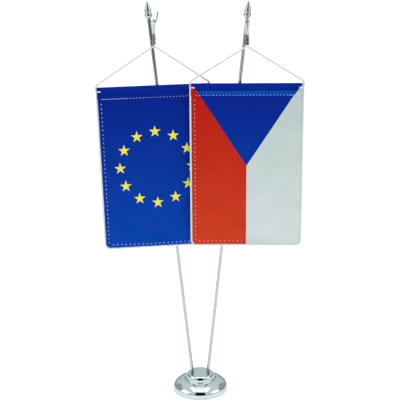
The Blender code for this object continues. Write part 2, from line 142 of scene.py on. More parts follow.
def parting_point(side):
    return Vector(joint_named(side + "_flag_sway")["pos_m"])


def flag_place(side):
    """Origin at the rod's middle, X along the rod, Y to the back, Z up the flag."""
    back = Vector(joint_named(side + "_flag_sway")["axis"]).normalized() * SIDES[side]["facing"]
    level = back.cross(Vector((0.0, 0.0, 1.0))).normalized()
    roll = SIDES[side]["roll"]
    along = level * math.cos(roll) + Vector((0.0, 0.0, math.sin(roll)))
    low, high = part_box(side + "_flag_rod")
    return basis((low + high) / 2, along, back, along.cross(back))


# ---- meshes ----

def arc(centre, radius, start, end, steps):
    angles = np.radians(np.linspace(start, end, steps + 1))
    return [(centre[0] + radius * math.cos(a), centre[1] + radius * math.sin(a)) for a in angles]


def spline_weights(t):
    """Shares of four points in a row in a Catmull-Rom curve, t of the way from the second to the third."""
    return [(-t + 2 * t ** 2 - t ** 3) / 2, (2 - 5 * t ** 2 + 3 * t ** 3) / 2,
            (t + 4 * t ** 2 - 3 * t ** 3) / 2, (-t ** 2 + t ** 3) / 2]


def smooth_route(points, per_span):
    """Points read from a smooth curve through the given ones."""
    points = np.array(points, float)
    ends = np.vstack([2 * points[:1] - points[1:2], points, 2 * points[-1:] - points[-2:-1]])
    route = [sum(share * point for share, point in zip(spline_weights(k / per_span), ends[i:i + 4]))
             for i in range(len(points) - 1) for k in range(per_span)]
    return np.array(route + [points[-1]])


def distances(route):
    """How far along the route each of its points lies."""
    return np.concatenate([[0.0], np.cumsum(np.linalg.norm(np.diff(route, axis=0), axis=1))])


def even_route(route, step):
    """The same line with points that lie evenly along it."""
    along = distances(route)
    places = np.linspace(0.0, along[-1], max(2, round(along[-1] / step) + 1))
    return np.stack([np.interp(places, along, route[:, k]) for k in range(route.shape[1])], axis=1)


def moved(points, matrix):
    return np.array(points, float) @ np.array(matrix.to_3x3()).T + np.array(matrix.translation)


def frames_along(route):
    """Two directions across the route at each of its points, turning as little as they can."""
    tangents = np.gradient(route, axis=0)
    tangents /= np.linalg.norm(tangents, axis=1)[:, None]
    side = np.cross(tangents[0], (0.0, 0.0, 1.0) if abs(tangents[0][2]) < 0.9 else (1.0, 0.0, 0.0))
    first, second = [], []
    for tangent in tangents:
        side = side - tangent * side.dot(tangent)
        side = side / np.linalg.norm(side)
        first.append(side)
        second.append(np.cross(tangent, side))
    return np.array(first), np.array(second)


class Surface:
    """Gathers points and faces, several shapes to one mesh."""

    def __init__(self):
        self.points, self.faces = [], []

    def rows(self, rows, around=True, caps=True):
        """A grid of points. Its rows are closed rings if around is set, and its ends closed if caps is."""
        start = len(self.points)
        count = len(rows[0])
        for row in rows:
            self.points.extend(map(tuple, row))
        for j in range(len(rows) - 1):
            for i in range(count if around else count - 1):
                a, b = start + j * count + i, start + j * count + (i + 1) % count
                self.faces.append((a, b, b + count, a + count))
        if caps:
            last = start + (len(rows) - 1) * count
            self.faces.append(tuple(range(start, start + count))[::-1])
            self.faces.append(tuple(range(last, last + count)))

    def tube(self, route, radii, sides=12):
        """A round tube with domed ends."""
        route = np.array(route, float)
        radii = np.broadcast_to(np.array(radii, float), len(route)).copy()
        first, second = frames_along(route)
        turns = np.linspace(0.0, 2 * math.pi, sides, endpoint=False)
        circle = np.cos(turns)[:, None, None] * first + np.sin(turns)[:, None, None] * second
        rows = [route[k] + circle[:, k] * radii[k] for k in range(len(route))]
        for end, inner in ((0, 1), (-1, -2)):
            out = route[end] - route[inner]
            out /= np.linalg.norm(out)
            dome = [route[end] + out * radii[end] * rise + circle[:, end] * radii[end] * share
                    for rise, share in ((0.5, 0.866), (0.8, 0.6), (0.97, 0.24))]
            rows = rows + dome if end else dome[::-1] + rows
        self.rows(rows)

    def turned(self, profile, steps):
        """A closed solid of revolution about Z. The profile runs down its outer side, from axis to axis."""
        start = len(self.points)
        turns = np.linspace(0.0, 2 * math.pi, steps, endpoint=False)
        inner = profile[1:-1]
        self.points.append((0.0, 0.0, profile[0][1]))
        for r, z in inner:
            self.points.extend((r * math.cos(a), r * math.sin(a), z) for a in turns)
        self.points.append((0.0, 0.0, profile[-1][1]))
        last = len(self.points) - 1
        for i in range(steps):
            n = (i + 1) % steps
            self.faces.append((start, start + 1 + i, start + 1 + n))
            for j in range(len(inner) - 1):
                a = start + 1 + j * steps
                self.faces.append((a + i, a + steps + i, a + steps + n, a + n))
            a = start + 1 + (len(inner) - 1) * steps
            self.faces.append((a + i, last, a + n))

    def mesh(self, name, weld=0.0):
        """A mesh with its faces turned outwards, and its points joined where they lie within weld."""
        mesh = bpy.data.meshes.new(name)
        mesh.from_pydata(self.points, [], self.faces)
        shape = bmesh.new()
        shape.from_mesh(mesh)
        if weld:
            bmesh.ops.remove_doubles(shape, verts=shape.verts, dist=weld)
        bmesh.ops.recalc_face_normals(shape, faces=shape.faces)
        shape.to_mesh(mesh)
        shape.free()
        mesh.validate()
        return mesh


def linked(name, data):
    obj = bpy.data.objects.new(name, data)
    bpy.context.scene.collection.objects.link(obj)
    return obj


def shade(mesh, sharp=35):
    mesh.shade_smooth()
    mesh.set_sharp_from_angle(angle=math.radians(sharp))


def piece(name, mesh, material, body, place=None, replaces=(), sharp=35):
    """Links a mesh, shades it, and says what it rides on and what it stands for."""
    obj = linked(name, mesh)
    if place:
        mesh.transform(place)
    mesh.materials.clear()
    mesh.materials.append(material)
    shade(mesh, sharp)
    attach(obj, body)
    if replaces:
        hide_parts(*replaces)
    return obj


def turned_piece(name, profile, steps, material, body, node, place=None, sharp=35):
    """A piece turned from one profile, which stands for one node."""
    shape = Surface()
    shape.turned(profile, steps)
    return piece(name, shape.mesh(name), material, body, place, [node], sharp)


def drilled(obj, profile, steps, place):
    """Takes a turned hole out of a piece, and leaves no modifier."""
    drill = Surface()
    drill.turned(profile, steps)
    cutter = linked(obj.name + "_drill", drill.mesh(obj.name + "_drill"))
    cutter.data.transform(place)
    boolean = obj.modifiers.new("cut", "BOOLEAN")
    boolean.operation = "DIFFERENCE"
    boolean.solver = "EXACT"
    boolean.object = cutter
    bpy.context.view_layer.update()
    graph = bpy.context.evaluated_depsgraph_get()
    mesh = bpy.data.meshes.new_from_object(obj.evaluated_get(graph))
    obj.modifiers.clear()
    old, obj.data = obj.data, mesh
    bpy.data.meshes.remove(old)
    bpy.data.objects.remove(cutter)
    shade(mesh)


# ---- materials ----

class Paint:
    """A Principled material with a few shorthands for its nodes."""

    def __init__(self, name, colour, roughness, metallic=0.0, **sockets):
        self.material = bpy.data.materials.new(name)
        self.material.use_nodes = True
        self.tree = self.material.node_tree
        self.shader = self.tree.nodes["Principled BSDF"]
        self.set("Base Color", (*colour, 1.0))
        self.set("Roughness", roughness)
        self.set("Metallic", metallic)
        for socket, value in sockets.items():
            self.set(socket.replace("_", " "), value)

    def set(self, socket, value):
        self.shader.inputs[socket].default_value = value

    def node(self, kind, **settings):
        node = self.tree.nodes.new("ShaderNode" + kind)
        for key, value in settings.items():
            setattr(node, key, value)
        return node

    def join(self, source, target):
        if isinstance(source, (int, float)):
            target.default_value = source
        else:
            self.tree.links.new(source, target)

    def stretched(self, where, scale):
        mapping = self.node("Mapping")
        mapping.inputs["Scale"].default_value = scale
        self.join(where, mapping.inputs["Vector"])
        return mapping.outputs["Vector"]

    def place(self, scale=(1.0, 1.0, 1.0)):
        """Object coordinates, stretched by scale."""
        return self.stretched(self.node("TexCoord").outputs["Object"], scale)

    def noise(self, where, scale, detail=3.0, roughness=0.5):
        node = self.node("TexNoise")
        node.inputs["Scale"].default_value = scale
        node.inputs["Detail"].default_value = detail
        node.inputs["Roughness"].default_value = roughness
        self.join(where, node.inputs["Vector"])
        return node.outputs["Fac"]

    def maths(self, kind, a, b=0.0):
        node = self.node("Math", operation=kind)
        self.join(a, node.inputs[0])
        self.join(b, node.inputs[1])
        return node.outputs[0]

    def spread(self, value, low, high, from_low=0.3, from_high=0.7):
        """Maps a value's range onto low to high, and holds it there beyond."""
        node = self.node("MapRange")
        self.join(value, node.inputs["Value"])
        limits = {"From Min": from_low, "From Max": from_high, "To Min": low, "To Max": high}
        for key, number in limits.items():
            node.inputs[key].default_value = number
        return node.outputs["Result"]

    def blend(self, share, one, other, kind="MIX"):
        node = self.node("Mix", data_type="RGBA", blend_type=kind)
        self.join(share, node.inputs["Factor"])
        for socket, colour in ((node.inputs["A"], one), (node.inputs["B"], other)):
            if isinstance(colour, tuple):
                socket.default_value = (*colour, 1.0)
            else:
                self.join(colour, socket)
        return node.outputs["Result"]

    def colour(self, source):
        self.join(source, self.shader.inputs["Base Color"])

    def roughness(self, source):
        self.join(source, self.shader.inputs["Roughness"])

    def bump(self, height, distance, strength=1.0):
        node = self.node("Bump")
        node.inputs["Distance"].default_value = distance
        node.inputs["Strength"].default_value = strength
        self.join(height, node.inputs["Height"])
        previous = self.shader.inputs["Normal"]
        if previous.is_linked:
            self.join(previous.links[0].from_socket, node.inputs["Normal"])
        self.join(node.outputs["Normal"], previous)


def shaded(colour, factor):
    return tuple(c * factor for c in colour)


def metal(name, colour, smooth, rough, grain=(1.0, 1.0, 0.08), dirt=0.85, edge=1.0):
    """Plated metal: faint smears that change its gloss, fine polishing marks and a little tarnish.

    edge is how much of the light it still reflects where it curves away.
    """
    paint = Paint(name, colour, smooth, 1.0, Specular_Tint=(edge, edge, edge, 1.0))
    marks = paint.noise(paint.place(grain), 9000.0, 2.0)
    smears = paint.noise(paint.place(), 160.0, 4.0, 0.6)
    paint.roughness(paint.spread(smears, smooth, rough))
    paint.colour(paint.blend(paint.spread(smears, 0.0, 1.0, 0.45, 0.8), colour, shaded(colour, dirt)))
    paint.bump(marks, 0.000002, 0.35)
    return paint.material


def cord_material():
    """White twisted yarn: fine fibres along each ply, painted shade in the hollows between its plies, and
    faint grey soil.
    """
    white = (0.78, 0.80, 0.79)
    paint = Paint("twisted_cord", white, 0.72, Sheen_Weight=0.1, Sheen_Roughness=0.4)
    where = paint.place()
    fibres = paint.noise(where, 6500.0, 2.0)
    soil = paint.noise(where, 450.0, 3.0)
    # Painted shade: the hollows between the plies are darkened nearly to black, the crests left white.
    crest = paint.node("Attribute", attribute_name="crest").outputs["Fac"]
    ply = paint.blend(crest, (0.10, 0.11, 0.11), white)
    paint.colour(paint.blend(paint.spread(soil, 0.0, 0.35), ply, (0.52, 0.54, 0.54)))
    paint.roughness(paint.spread(fibres, 0.62, 0.85))
    paint.bump(fibres, 0.00008, 0.7)
    return paint.material


def thread_material():
    white = (0.84, 0.85, 0.84)
    paint = Paint("sewing_thread", white, 0.55, Sheen_Weight=0.2)
    twist = paint.noise(paint.place(), 8000.0, 2.0)
    paint.colour(paint.blend(paint.spread(twist, 0.0, 0.5), white, shaded(white, 0.8)))
    paint.bump(twist, 0.00004, 0.5)
    return paint.material


def felt_material():
    dark = (0.030, 0.030, 0.032)
    paint = Paint("felt_pad", dark, 0.95, Sheen_Weight=0.5)
    fluff = paint.noise(paint.place(), 2500.0, 5.0, 0.7)
    paint.colour(paint.blend(paint.spread(fluff, 0.0, 1.0), dark, (0.065, 0.065, 0.068)))
    paint.bump(fluff, 0.0003, 0.9)
    return paint.material


def plastic_material():
    white = (0.76, 0.76, 0.73)
    paint = Paint("rod_plastic", white, 0.42)
    grain = paint.noise(paint.place((0.1, 1.0, 1.0)), 2200.0, 2.0)
    paint.colour(paint.blend(paint.spread(grain, 0.0, 0.6), white, shaded(white, 0.88)))
    paint.roughness(paint.spread(grain, 0.36, 0.52))
    paint.bump(grain, 0.00002, 0.4)
    return paint.material


FLAT_SPAN = 0.2     # metres of cloth across one unit of the flat map
# Each colour of the print, high and low on the cloth: it grows paler towards the bottom with painted light
# from the floor below.
BLUE = (0.0003, 0.016, 0.245), (0.0005, 0.050, 0.365)
RED = (0.440, 0.011, 0.004), (0.570, 0.042, 0.014)
WHITE = (0.470, 0.540, 0.525), (0.610, 0.665, 0.660)
YELLOW = (0.840, 0.740, 0.050), (0.880, 0.780, 0.060)
# Painted light and shade on the blue under the right flag's rod: a paler lit band of flat cloth, and a
# painted shadow line in the crease just under the rod.
POCKET_LIT_BLUE, CREASE_SHADOW_BLUE = (0.0006, 0.062, 0.380), (0.0002, 0.010, 0.170)
POCKET_LIT_BAND = (0.0066, POCKET_DEPTH - 0.0004)    # where painted light makes the flat cloth under the rod paler, down from the top
CREASE_SHADOW_BAND = (0.0052, 0.0064)
STAR_COUNT, RING_RADIUS, STAR_RADIUS = 12, CLOTH_WIDTH / 3, CLOTH_WIDTH / 18
PRINT_EDGE = 0.00012        # how soft the printed edges are


class Satin(Paint):
    """Printed satin. Its pattern and weave are laid out on the cloth as it was cut."""

    def __init__(self, name, colour):
        super().__init__(name, colour, 0.50)
        self.set("Specular IOR Level", 0.04)
        flat = self.node("UVMap", uv_map="flat").outputs["UV"]
        parts = self.node("SeparateXYZ")
        self.join(flat, parts.inputs[0])
        self.flat = flat
        self.x = self.maths("MULTIPLY", self.maths("SUBTRACT", parts.outputs[0], 0.5), FLAT_SPAN)
        self.down = self.maths("MULTIPLY", parts.outputs[1], FLAT_SPAN)

    def between(self, low, high, edge=0.0006):
        """1 where the cloth lies between two distances down from its top."""
        below = self.spread(self.down, 0.0, 1.0, low - edge / 2, low + edge / 2)
        above = self.spread(self.down, 1.0, 0.0, high - edge / 2, high + edge / 2)
        return self.maths("MULTIPLY", below, above)

    def print_with_painted_light(self, colours):
        """A printed colour, with painted light that makes it paler from high to low on the cloth."""
        return self.blend(self.spread(self.down, 0.0, 1.0, 0.02, CLOTH_HEIGHT), *colours)

    def inside(self, distance):
        """1 where the signed distance is under 0, with a soft printed edge."""
        return self.spread(distance, 1.0, 0.0, -PRINT_EDGE / 2, PRINT_EDGE / 2)

    def stars(self):
        """A ring of upright five-pointed stars round the cloth's middle."""
        maths = self.maths
        x, y = self.x, maths("SUBTRACT", CLOTH_HEIGHT / 2, self.down)
        step = 2 * math.pi / STAR_COUNT
        turn = maths("MULTIPLY", maths("ROUND", maths("DIVIDE", maths("ARCTAN2", y, x), step)), step)
        x = maths("SUBTRACT", x, maths("MULTIPLY", maths("COSINE", turn), RING_RADIUS))
        y = maths("SUBTRACT", y, maths("MULTIPLY", maths("SINE", turn), RING_RADIUS))
        reach = maths("SQRT", maths("ADD", maths("MULTIPLY", x, x), maths("MULTIPLY", y, y)))
        fifth = 2 * math.pi / 5
        from_tip = maths("PINGPONG", maths("ARCTAN2", x, y), fifth / 2)
        x = maths("MULTIPLY", reach, maths("SINE", from_tip))
        y = maths("MULTIPLY", reach, maths("COSINE", from_tip))
        inner = STAR_RADIUS * math.cos(fifth) / math.cos(fifth / 2)
        edge = Vector((inner * math.sin(fifth / 2), inner * math.cos(fifth / 2) - STAR_RADIUS)).normalized()
        beyond = maths("MULTIPLY", maths("SUBTRACT", y, STAR_RADIUS), edge.x)
        return self.inside(maths("SUBTRACT", beyond, maths("MULTIPLY", x, edge.y)))

    def triangle(self):
        """A triangle that hangs from the whole top edge down to the cloth's middle."""
        maths = self.maths
        slope = (CLOTH_WIDTH / 2) / (CLOTH_HEIGHT / 2)
        room = maths("SUBTRACT", CLOTH_WIDTH / 2, maths("MULTIPLY", self.down, slope))
        return self.inside(maths("SUBTRACT", maths("ABSOLUTE", self.x), room))

    def finish(self, print_colour):
        """Lays the satin's threads, faint slubs and uneven sheen over the print."""
        cloudy = self.noise(self.flat, 9.0, 3.0)
        print_colour = self.blend(self.spread(cloudy, 0.0, 0.10), print_colour, (1.0, 1.0, 1.0), "OVERLAY")
        slubs = self.noise(self.stretched(self.flat, (60.0, 900.0, 1.0)), 1.0, 2.0)
        self.colour(self.blend(self.spread(slubs, 0.0, 0.16), print_colour, (0.0, 0.0, 0.0)))
        self.roughness(self.spread(slubs, 0.42, 0.55))
        threads = self.node("TexWave", wave_type="BANDS", bands_direction="DIAGONAL")
        threads.inputs["Scale"].default_value = 260.0
        threads.inputs["Distortion"].default_value = 1.2
        self.join(self.flat, threads.inputs["Vector"])
        self.bump(threads.outputs["Fac"], 0.00002, 0.35)
        self.bump(slubs, 0.00003, 0.3)
        return self.material


def starred_satin():
    satin = Satin("starred_blue_satin", BLUE[0])
    # The blue and the yellow stars grow paler towards the bottom with painted light.
    return satin.finish(satin.blend(satin.stars(), satin.print_with_painted_light(BLUE), satin.print_with_painted_light(YELLOW)))


def tricolour_satin():
    satin = Satin("red_white_satin", WHITE[0])
    # The white and the red grow paler towards the bottom with painted light.
    halves = satin.blend(satin.inside(satin.x), satin.print_with_painted_light(WHITE), satin.print_with_painted_light(RED))
    # Painted light: the flat band under the rod is lit paler. Painted shadow: a dark line in the crease under
    # the rod.
    blue = satin.blend(satin.between(*POCKET_LIT_BAND), satin.print_with_painted_light(BLUE), POCKET_LIT_BLUE)
    blue = satin.blend(satin.between(*CREASE_SHADOW_BAND), blue, CREASE_SHADOW_BLUE)
    return satin.finish(satin.blend(satin.triangle(), halves, blue))


CHROME = metal("polished_chrome", (0.55, 0.605, 0.605), 0.03, 0.075, edge=0.80)
POLE_CHROME = metal("pole_chrome", (0.42, 0.46, 0.455), 0.09, 0.13, edge=0.50)
FINIAL_CHROME = metal("finial_chrome", (0.46, 0.495, 0.495), 0.04, 0.10, edge=0.55)
WIRE = metal("hook_wire", (0.28, 0.28, 0.27), 0.25, 0.42, (1.0, 1.0, 1.0), 0.7)
FERRULE = metal("ferrule_metal", (0.30, 0.305, 0.26), 0.24, 0.42, (1.0, 1.0, 0.3), 0.6)
STEEL = metal("ballast_steel", (0.42, 0.42, 0.42), 0.30, 0.45, (1.0, 1.0, 1.0), 0.7)
CORD = cord_material()
THREAD = thread_material()
FELT = felt_material()
PLASTIC = plastic_material()


# ---- foot ----

def rounded(corners, radius, steps=4):
    """A profile's corners, each rounded to that radius where its neighbours leave room."""
    points = [corners[0]]
    for before, corner, after in zip(corners, corners[1:], corners[2:]):
        here = Vector(corner)
        to_before, to_after = Vector(before) - here, Vector(after) - here
        reach = min(radius, 0.45 * to_before.length, 0.45 * to_after.length)
        start, end = here + to_before.normalized() * reach, here + to_after.normalized() * reach
        for k in range(steps + 1):
            t = k / steps
            points.append(tuple(start * (1 - t) ** 2 + 2 * here * t * (1 - t) + end * t * t))
    return points + [corners[-1]]


def base_profile():
    side_bottom = DOME_TOP + HUB_SIDE_SHARE * (HUB_TOP - HUB_ROUNDING - DOME_TOP)
    flat = HUB_RADIUS - HUB_ROUNDING
    notch = DOME_INNER_RADIUS - HUB_RADIUS
    points = [(0.0, HUB_TOP), (flat * 0.5, HUB_TOP), (flat - 0.0004, HUB_TOP)]
    points += [(flat + x, side_bottom + z * (HUB_TOP - side_bottom) / HUB_ROUNDING)
               for x, z in arc((0.0, 0.0), HUB_ROUNDING, 86, 3, 20)]
    points += arc((DOME_INNER_RADIUS, side_bottom), notch, 180, 250, 8)
    for t in np.sin(np.radians(np.linspace(0, 90, 28))):
        rise = (1 - t ** DOME_FULLNESS) ** (1 / DOME_FULLNESS)
        points.append((DOME_INNER_RADIUS + (BASE_RADIUS - DOME_INNER_RADIUS) * t,
                       RIM_TOP + (DOME_TOP - RIM_TOP) * rise))
    points += arc((BASE_RADIUS - RIM_EDGE, RIM_BOTTOM + RIM_EDGE), RIM_EDGE, 0, -90, 5)
    points += [(RECESS_RADIUS, RIM_BOTTOM), (RECESS_RADIUS, RECESS_TOP), (SCREW_HOLE_RADIUS, RECESS_TOP),
               (SCREW_HOLE_RADIUS, SCREW_HOLE_TOP), (0.0, SCREW_HOLE_TOP)]
    return points


def make_base():
    base = turned_piece("chrome_foot", base_profile(), 192, CHROME, "stand", "base")
    bore, mouth, above = POLE_RADIUS + FIT_GAP, POLE_RADIUS + FIT_GAP + 0.0003, 0.003
    socket = [(0.0, above), (mouth, above), (mouth, 0.0001), (bore, -0.0002),
              (bore, POLE_FOOT - TOUCH_GAP), (0.0, POLE_FOOT - TOUCH_GAP)]
    for side in SIDES:
        drilled(base, socket, 48, pole_place(side))


def make_pad():
    inner = PAD_RADIUS - PAD_EDGE
    profile = [(0.0, PAD_THICKNESS), (inner, PAD_THICKNESS), (PAD_RADIUS, PAD_THICKNESS - PAD_EDGE),
               (PAD_RADIUS, PAD_EDGE), (inner, 0.0), (0.0, 0.0)]
    turned_piece("felt_foot_pad", profile, 96, FELT, "stand", "foot_pad")


# ---- poles, finials and hooks ----

def make_pole(side):
    top = POLE_SHOULDER + SPIGOT_LENGTH
    profile = rounded([
        (0.0, top), (SPIGOT_RADIUS, top), (SPIGOT_RADIUS, POLE_SHOULDER), (POLE_RADIUS, POLE_SHOULDER),
        (POLE_RADIUS, POLE_FOOT + POLE_CHAMFER), (POLE_RADIUS - POLE_CHAMFER, POLE_FOOT), (0.0, POLE_FOOT),
    ], 0.00015, 3)
    pole = turned_piece(side + "_chrome_pole", profile, 56, POLE_CHROME, side + "_mast", side + "_pole",
                        pole_place(side))
    bore, root, above = WIRE_RADIUS + FIT_GAP, -HOOK_ROOT - TOUCH_GAP, 2 * POLE_RADIUS
    drilled(pole, [(0.0, above), (bore, above), (bore, root), (0.0, root)], 32,
            hook_place(side) @ Matrix.Rotation(math.radians(90), 4, "Y"))


def make_finial(side):
    seat = FINIAL_SEAT
    bore, bore_top = SPIGOT_RADIUS + FIT_GAP, seat + SPIGOT_LENGTH + TOUCH_GAP
    high = math.degrees(math.asin((NECK_HEIGHT - BALL_CENTRE) / BALL_RADIUS))
    low = math.degrees(math.asin(BALL_CENTRE / BALL_RADIUS))
    tip, neck = seat + SPEAR_TIP, seat + NECK_HEIGHT
    profile = [(0.0, tip + TIP_RADIUS * 0.7), (TIP_RADIUS * 0.6, tip + TIP_RADIUS * 0.5)]
    for t in np.linspace(0.0, 1.0, 22):
        radius = TIP_RADIUS + (SPEAR_RADIUS - TIP_RADIUS) * (1 - (1 - t) ** SPEAR_FULLNESS)
        profile.append((radius, tip - (SPEAR_TIP - SPEAR_BASE) * t))
    profile += [(SPEAR_RADIUS, seat + SPEAR_BASE - SPEAR_LIP), (SPEAR_RADIUS - SPEAR_LIP, neck + SPEAR_LIP),
                (NECK_RADIUS, neck + SPEAR_LIP * 0.8)]
    profile += arc((0.0, seat + BALL_CENTRE), BALL_RADIUS, high, -low, 30)
    profile += [(bore, seat), (bore, bore_top), (0.0, bore_top)]
    turned_piece(side + "_spear_finial", profile, 72, FINIAL_CHROME, side + "_mast", side + "_finial",
                 pole_place(side), 50)


def make_hook(side):
    points = [(-HOOK_ROOT, 0.0, 0.0), (POLE_RADIUS / 3, 0.0, 0.0)]
    points += [(POLE_RADIUS + out, 0.0, up) for out, up in HOOK_ROUTE]
    shape = Surface()
    route = even_route(smooth_route(points, 8), 0.00035)
    shape.tube(route[2:-2], WIRE_RADIUS, 20)
    name = side + "_wire_hook"
    piece(name, shape.mesh(name), WIRE, side + "_mast", hook_place(side), [side + "_hook"])


# ---- cords and ferrules ----

END_ROLL, END_REACH = 0.00022, 0.00030    # how far a ferrule's ends roll in, and over what length
CRIMP_DEPTH, CRIMP_WIDTH = 0.00017, 0.075    # the width is a share of the ferrule's length
PLIES = 3
PLY_SHARE = 1 / (1 + 2 / math.sqrt(3))    # a ply's radius as a share of a three-ply cord's
LAY_LENGTH = 0.0062                       # along the cord for one whole turn of its plies
PLY_SQUASH = 1.12                         # how much wider than round the plies press each other
ROPE_STEP = 0.0007
HOLLOW, CREST = 0.64, 0.94                # a ply's hollows and crests, as shares of the cord's radius


def rope(route, scale):
    """A laid cord: plies that wind round the route. scale is each point's share of the full radius."""
    line = even_route(np.column_stack([route, scale]), ROPE_STEP)
    route, scale = line[:, :3], line[:, 3]
    first, second = frames_along(route)
    along = distances(route)
    shape = Surface()
    for ply in range(PLIES):
        turn = 2 * math.pi * (along / LAY_LENGTH + ply / PLIES)
        out = (CORD_RADIUS * (1 - PLY_SHARE)) * scale
        centre = route + (np.cos(turn) * out)[:, None] * first + (np.sin(turn) * out)[:, None] * second
        shape.tube(centre, CORD_RADIUS * PLY_SHARE * scale * PLY_SQUASH, 8)
    return shape, route


def mark_hollows(mesh, route):
    """Stores how far from the cord's middle each point lies: 0 in the hollows, 1 on the plies' crests, for
    the painted shade in the hollows.
    """
    tree = KDTree(len(route))
    for index, point in enumerate(route):
        tree.insert(point, index)
    tree.balance()
    out = np.array([tree.find(vertex.co)[2] for vertex in mesh.vertices])
    height = np.clip((out / CORD_RADIUS - HOLLOW) / (CREST - HOLLOW), 0.0, 1.0)
    mesh.attributes.new("crest", "FLOAT", "POINT").data.foreach_set("value", height)
    return mesh


def make_cord(name, route, scale, body, node):
    shape, path = rope(route, scale)
    cord = piece(name, mark_hollows(shape.mesh(name), path), CORD, body, None, [node], 60)
    tuple(path[0])
    float(distances(path)[-1])


def make_loop(side):
    """Over the hook in a half turn, and down into the ferrule as two thinned strands."""
    closed = CORD_RADIUS + TOUCH_GAP / 2
    crimped = CRIMPED_RADIUS + TOUCH_GAP / 2
    end = -FERRULE_TOP_DROP - FERRULE_LENGTH + TOUCH_GAP
    thin = CRIMPED_RADIUS / CORD_RADIUS
    strand = [
        (LOOP_BEND * 0.99, -0.15 * LOOP_CLOSED_DROP, 1.0),
        ((2 * LOOP_BEND + closed) / 3, -0.5 * LOOP_CLOSED_DROP, 1.0),
        (closed, -LOOP_CLOSED_DROP, 1.0),
        (closed, -FERRULE_TOP_DROP + 0.0030, 1.0),
        ((closed + crimped) / 2, -FERRULE_TOP_DROP + 0.0014, (1 + thin) / 2),
        (crimped, -FERRULE_TOP_DROP + 0.0002, thin),
        (crimped, end, thin),
    ]
    over = [(x, z, 1.0) for x, z in arc((0.0, 0.0), LOOP_BEND, 180, 0, 6)]
    points = [(-x, z, share) for x, z, share in reversed(strand)] + over + strand
    line = smooth_route(points, 4)
    route = moved(np.column_stack([line[:, 0], np.zeros(len(line)), line[:, 1]]), saddle_place(side))
    make_cord(side + "_cord_loop", route, line[:, 2], side + "_hanger", side + "_hanging_loop")


def stadium(half_width, half_depth):
    """A ring of points round a slot with round ends."""
    straight, steps = half_width - half_depth, 16
    right = arc((straight, 0), half_depth, -90, 90, steps)
    return np.array(right + arc((-straight, 0), half_depth, 90, 270, steps))


def make_ferrule(side):
    """A pressed sleeve with rolled ends and two crimps across its faces."""
    width, depth = (half + FERRULE_WALL for half in FERRULE_BORE)
    top, bottom = -FERRULE_TOP_DROP, -FERRULE_TOP_DROP - FERRULE_LENGTH
    rows = []
    for t in np.linspace(0.0, 1.0, 41):
        from_end = min(t, 1 - t) * FERRULE_LENGTH
        roll = END_ROLL * max(0.0, 1 - from_end / END_REACH) ** 2
        dent = CRIMP_DEPTH * sum(math.exp(-((t - middle) / CRIMP_WIDTH) ** 2) for middle in (0.30, 0.70))
        ring = stadium(width - roll, depth - roll)
        ring[:, 1] *= 1 - dent / depth
        rows.append(np.column_stack([ring, np.full(len(ring), bottom + (top - bottom) * t)]))
    inside = stadium(*FERRULE_BORE)
    rows += [np.column_stack([inside, np.full(len(inside), h)]) for h in np.linspace(top, bottom, 12)]
    rows.append(rows[0])
    shape = Surface()
    shape.rows(rows, caps=False)
    name = side + "_crimped_ferrule"
    piece(name, shape.mesh(name, weld=0.000001), FERRULE, side + "_hanger", saddle_place(side),
          [side + "_ferrule"])


def flag_cord_route(side):
    """From the ferrule down one leg, round the cloth and up the other leg, in the frame's axes."""
    place = flag_place(side)
    parting = np.array(place.inverted() @ parting_point(side))
    half = CLOTH_WIDTH / 2
    bottom = POCKET_RADIUS - CLOTH_HEIGHT - EDGE_OFFSET
    bend = CORNER_RADIUS + EDGE_OFFSET
    halves = []
    for sign in (-1, 1):
        corner = [np.array((sign * (half + out), 0.0, POCKET_RADIUS + up)) for out, up in CORNER_ROUTE]
        to_top = corner[0] - parting
        start = parting + to_top / np.linalg.norm(to_top) * LEG_START
        leg = [start + (corner[0] - start) * t for t in (0.0, 0.25, 0.5, 0.75, 0.95)] + corner
        x = half + EDGE_OFFSET
        down = [(x, bottom * t) for t in (0.10, 0.30, 0.50, 0.70, 0.90)]
        turn = arc((x - bend, bottom + bend), bend, 0, -90, 3)
        across = [(0.55 * x, bottom), (0.2 * x, bottom)]
        edge = [np.array((sign * px, 0.0, pz)) for px, pz in down + turn + across]
        halves.append(leg + edge)
    return moved(smooth_route(halves[0] + halves[1][::-1], 6), place)


def make_flag_cord(side):
    route = flag_cord_route(side)
    make_cord(side + "_twisted_cord", route, np.ones(len(route)), side + "_flag", side + "_flag_cord")


def make_rod(side):
    half, edge = ROD_LENGTH / 2, 0.0003
    inner = ROD_RADIUS - edge
    profile = [(0.0, half), (inner, half), (ROD_RADIUS, half - edge), (ROD_RADIUS, edge - half),
               (inner, -half), (0.0, -half)]
    turned_piece(side + "_pocket_rod", profile, 32, PLASTIC, side + "_flag", side + "_flag_rod",
                 flag_place(side) @ Matrix.Rotation(math.radians(90), 4, "Y"))


# ---- cloth ----

ALLOWANCE = 0.0020          # cloth turned up behind the pocket, past its seam
EDGE_UNDER_CORD = 0.0006    # how far the cloth reaches under the cord that edges it
HALF_CUT = CLOTH_WIDTH / 2 + EDGE_UNDER_CORD
CREASE_ROUTE = ((-0.0007, -0.0034), (-0.0009, -0.0047), (-0.0016, -0.0066), (-0.0015, -0.0082))
WAVE_HEIGHT = 0.0016
SIM_SCALE = 10.0            # the solver behaves better on a cloth ten times as large
SIM_FRAMES = 45
COARSE, FINE = 0.0025, 0.0010    # spacing of the cloth's points, as it settles and as it is shown
FOLD_STEP = 0.0008               # the same round the pocket

